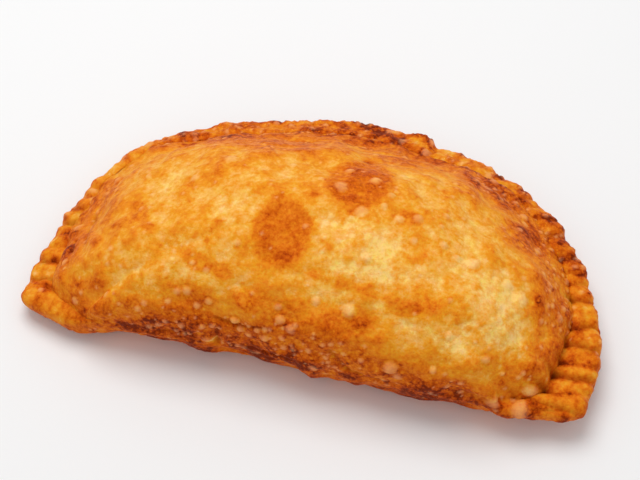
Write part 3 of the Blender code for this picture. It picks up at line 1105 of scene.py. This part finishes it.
def crust_material(colours):
    """Fried crust, whose tone comes from the browning on the vertices, with painted shade and
    light laid into it, and from fine patterns.
    """
    material = bpy.data.materials.new("fried_crust")
    material.use_nodes = True
    tree = material.node_tree
    shader = tree.nodes["Principled BSDF"]
    shader.location = (2200, 0)
    place = node(tree, "ShaderNodeTexCoord", (0, 2)).outputs["Object"]
    brown = attribute_node(tree, "brown", (0, 0))
    top = attribute_node(tree, "blister_skin_and_sheen", (0, 4))
    froth = attribute_node(tree, "froth", (0, 5))
    crease_shade = attribute_node(tree, "crease_shade", (0, 6))
    even = attribute_node(tree, "even", (0, 7))
    broad = noise_node(tree, place, MOTTLE_SCALE, 4.0, (1, 1), 0.65)
    fine = noise_node(tree, place, FINE_SCALE, 3.0, (1, 2), 0.65)
    speck = noise_node(tree, place, SPECK_SCALE, 2.0, (1, 3), 0.5)
    large = bubbles(tree, place, LARGE_BUBBLE_SCALE, 1)
    small = bubbles(tree, place, SMALL_BUBBLE_SCALE, 2)
    bubble = maths(tree, "MAXIMUM", (3, 4), large, small)
    frothy = maths(tree, "ADD", (2, 5), froth, 0.15)
    bubble = maths(tree, "MULTIPLY", (3, 5), bubble, frothy)
    uneven = maths(tree, "MULTIPLY_ADD", (1, 0), even, -0.3, 1.0)
    broad = maths(tree, "SUBTRACT", (2, 0), broad, 0.5)
    broad = maths(tree, "MULTIPLY", (3, 0), broad, uneven)
    tone = maths(tree, "MULTIPLY_ADD", (2, 1), broad, MOTTLE_SWING, brown)
    tone = maths(tree, "MULTIPLY_ADD", (3, 1), fine, FINE_SWING, tone)
    tone = maths(tree, "SUBTRACT", (4, 1), tone, 0.33)
    tone = maths(tree, "ADD", (4, 2), tone, ring_blisters(tree, place, RING_SCALE))
    # Bubble tops paler: partly thinner skin, partly a painted highlight.
    tone = maths(tree, "MULTIPLY_ADD", (5, 1), bubble, BUBBLE_SWING, tone)
    colour = crust_colour(tree, place, tone, colours)
    # Painted shade: the crease colour laid into creases, crimp grooves and cracks.
    colour = blend_colour(tree, crease_shade, colour, (*colours.crease_shade, 1.0), (7, 1))
    # Blister tops paler: partly thinner skin, partly a painted sheen.
    skin_and_sheen_share = maths(tree, "MULTIPLY", (7, 3), top, BLISTER_SKIN_AND_SHEEN_SHARE)
    colour = blend_colour(tree, skin_and_sheen_share, colour, (*colours.blister_skin_and_sheen, 1.0), (8, 1))
    tree.links.new(colour, shader.inputs["Base Color"])
    rough = maths(tree, "MULTIPLY_ADD", (6, 3), fine, 0.35, 0.28)
    tree.links.new(rough, shader.inputs["Roughness"])
    set_finish(shader)
    height = maths(tree, "MULTIPLY_ADD", (6, 5), fine, 0.9, speck)
    height = maths(tree, "MULTIPLY_ADD", (7, 5), bubble, 0.55, height)
    bump = node(tree, "ShaderNodeBump", (8, 5), Strength=0.6, Distance=0.3 * MM)
    tree.links.new(height, bump.inputs["Height"])
    tree.links.new(bump.outputs["Normal"], shader.inputs["Normal"])
    return material


def store(mesh, name, values):
    attribute = mesh.attributes.new(name, "FLOAT", "POINT")
    attribute.data.foreach_set("value", np.asarray(values, np.float32))


# ---------------------------------------------------------------- settings and operators


def share_property(name, description, most):
    return bpy.props.FloatProperty(
        name=name, description=description, default=1.0, min=0.0, max=most, subtype="FACTOR"
    )


class CrustShape(bpy.types.PropertyGroup):
    """How strongly the crust's relief stands out"""

    blister_height: share_property("Blister height", "Share of the usual height", 2.0)
    crimp_depth: share_property("Crimp depth", "Share of the usual depth of the rim's marks", 1.5)


def colour_property(name, description, default):
    return bpy.props.FloatVectorProperty(
        name=name,
        description=description,
        default=linear(*default),
        subtype="COLOR",
        min=0.0,
        max=1.0,
    )


class CrustColours(bpy.types.PropertyGroup):
    """The crust's colours, from the palest dough to the darkest crust"""

    pale: colour_property("Pale", "The palest dough", (255, 214, 132))
    cream: colour_property("Cream", "Lightly fried dough", (247, 186, 94))
    golden: colour_property("Golden", "Golden crust", (241, 160, 43))
    amber: colour_property("Amber", "Orange, well fried crust", (234, 135, 30))
    brown: colour_property("Brown", "Browned crust", (216, 104, 17))
    deep: colour_property("Deep brown", "Strongly browned crust", (184, 72, 10))
    dark: colour_property("Dark", "The darkest crust", (122, 38, 3))
    # Painted shade colour for the creases, crimp grooves and cracks.
    crease_shade: colour_property("Crease", "Crust down in the creases", (118, 38, 2))
    yellow_tint: colour_property("Yellow tint", "Tint of the yellower flecks", (253, 252, 203))
    peach_tint: colour_property("Peach tint", "Tint of the pinker flecks", (255, 246, 255))
    # Thinner skin on a blister's top, with a painted sheen on it.
    blister_skin_and_sheen: colour_property("Blister", "The thin skin on top of a blister", (252, 194, 142))


class StageSettings(bpy.types.PropertyGroup):
    """The floor, the lights and the camera"""

    floor: colour_property("Floor", "Colour of the floor", (246, 246, 246))
    key_power: bpy.props.FloatProperty(
        name="Light",
        description="Power of the large soft light",
        default=2.15,
        min=0.0,
        unit="POWER",
    )
    sky: bpy.props.FloatProperty(
        name="Sky", description="Strength of the light from all round", default=0.57, min=0.0
    )
    lens: bpy.props.FloatProperty(
        name="Lens", description="Focal length of the camera", default=100.0, unit="CAMERA"
    )


class PASTRY_OT_make_crust(bpy.types.Operator):
    """Makes the empanada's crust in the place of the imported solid"""

    bl_idname = "pastry.make_crust"
    bl_label = "Make the crust"

    def execute(self, context):
        plan = Plan()
        form = body_form(plan)
        net = even_skin(form)
        form.free()
        mesh = bpy.data.meshes.new("empanada_crust")
        net.to_mesh(mesh)
        net.free()
        skin = Skin(mesh, plan)
        fields = shape_crust(skin, context.scene.crust_shape)
        # The brown attribute holds the browning with painted shade and light laid into it.
        store(mesh, "brown", brown_and_shade_field(skin, fields))
        store(mesh, "blister_skin_and_sheen", fields["top"])
        store(mesh, "froth", fields["froth"])
        store(mesh, "even", fields["even"])
        store(mesh, "crease_shade", np.clip(fields["crease_shade"], 0.0, 0.9))
        mesh.vertices.foreach_set("co", (skin.places * MM).astype(np.float32).ravel())
        mesh.update()
        mesh.shade_smooth()
        mesh.materials.append(crust_material(context.scene.crust_colours))
        piece = bpy.data.objects.new("empanada_crust", mesh)
        context.scene.collection.objects.link(piece)
        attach(piece, "root")
        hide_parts("empanada")
        return {"FINISHED"}


def make_floor(settings):
    plane = bmesh.new()
    bmesh.ops.create_grid(plane, x_segments=1, y_segments=1, size=FLOOR_HALF_WIDTH)
    mesh = bpy.data.meshes.new("floor")
    plane.to_mesh(mesh)
    plane.free()
    material = bpy.data.materials.new("pale_floor")
    material.use_nodes = True
    shader = material.node_tree.nodes["Principled BSDF"]
    shader.inputs["Base Color"].default_value = (*settings.floor, 1.0)
    shader.inputs["Roughness"].default_value = 0.9
    mesh.materials.append(material)
    floor = bpy.data.objects.new("floor", mesh)
    bpy.context.scene.collection.objects.link(floor)


def make_light(name, place, size, power):
    """A round soft light that points at the pastry."""
    light = bpy.data.lights.new(name, "AREA")
    light.shape = "DISK"
    light.size = size
    light.energy = power
    lamp = bpy.data.objects.new(name, light)
    lamp.location = place
    lamp.rotation_euler = (-Vector(place)).to_track_quat("-Z", "Y").to_euler()
    bpy.context.scene.collection.objects.link(lamp)


def make_camera(settings):
    """The camera, turned to the right of the front and raised above the floor."""
    data = bpy.data.cameras.new("camera")
    data.lens = settings.lens
    data.sensor_width = SENSOR_WIDTH
    data.clip_start = 0.01
    camera = bpy.data.objects.new("camera", data)
    turn, rise = math.radians(CAMERA_TURN), math.radians(CAMERA_RISE)
    back = Vector(
        (math.sin(turn) * math.cos(rise), -math.cos(turn) * math.cos(rise), math.sin(rise))
    )
    camera.location = Vector(CAMERA_AIM) + back * CAMERA_DISTANCE
    camera.rotation_euler = (-back).to_track_quat("-Z", "Y").to_euler()
    bpy.context.scene.collection.objects.link(camera)
    bpy.context.scene.camera = camera


class PASTRY_OT_make_stage(bpy.types.Operator):
    """Makes the floor, the lights and the camera"""

    bl_idname = "pastry.make_stage"
    bl_label = "Make the stage"

    def execute(self, context):
        settings = context.scene.pastry_stage
        make_floor(settings)
        make_light("key", LIGHT_PLACE, LIGHT_SIZE, settings.key_power)
        world = bpy.data.worlds.new("studio")
        world.use_nodes = True
        background = world.node_tree.nodes["Background"]
        background.inputs["Color"].default_value = (1.0, 1.0, 1.0, 1.0)
        background.inputs["Strength"].default_value = settings.sky
        context.scene.world = world
        context.scene.view_settings.view_transform = "Standard"
        make_camera(settings)
        return {"FINISHED"}


class PASTRY_PT_panel(bpy.types.Panel):
    """The empanada's settings and steps"""

    bl_label = "Empanada"
    bl_idname = "PASTRY_PT_panel"
    bl_space_type = "VIEW_3D"
    bl_region_type = "UI"
    bl_category = "Empanada"

    def draw(self, context):
        for group in ("crust_shape", "crust_colours", "pastry_stage"):
            settings = getattr(context.scene, group)
            for name in settings.bl_rna.properties.keys():
                if name not in ("rna_type", "name"):
                    self.layout.prop(settings, name)
        self.layout.operator(PASTRY_OT_make_crust.bl_idname)
        self.layout.operator(PASTRY_OT_make_stage.bl_idname)


CLASSES = (
    CrustShape,
    CrustColours,
    StageSettings,
    PASTRY_OT_make_crust,
    PASTRY_OT_make_stage,
    PASTRY_PT_panel,
)
GROUPS = {"crust_shape": CrustShape, "crust_colours": CrustColours, "pastry_stage": StageSettings}


def register():
    for kind in CLASSES:
        bpy.utils.register_class(kind)
    for name, group in GROUPS.items():
        setattr(bpy.types.Scene, name, bpy.props.PointerProperty(type=group))


def unregister():
    for name in GROUPS:
        delattr(bpy.types.Scene, name)
    for kind in reversed(CLASSES):
        bpy.utils.unregister_class(kind)


def main():
    register()
    bpy.ops.pastry.make_crust()
    bpy.ops.pastry.make_stage()


if __name__ == "__main__":
    main()
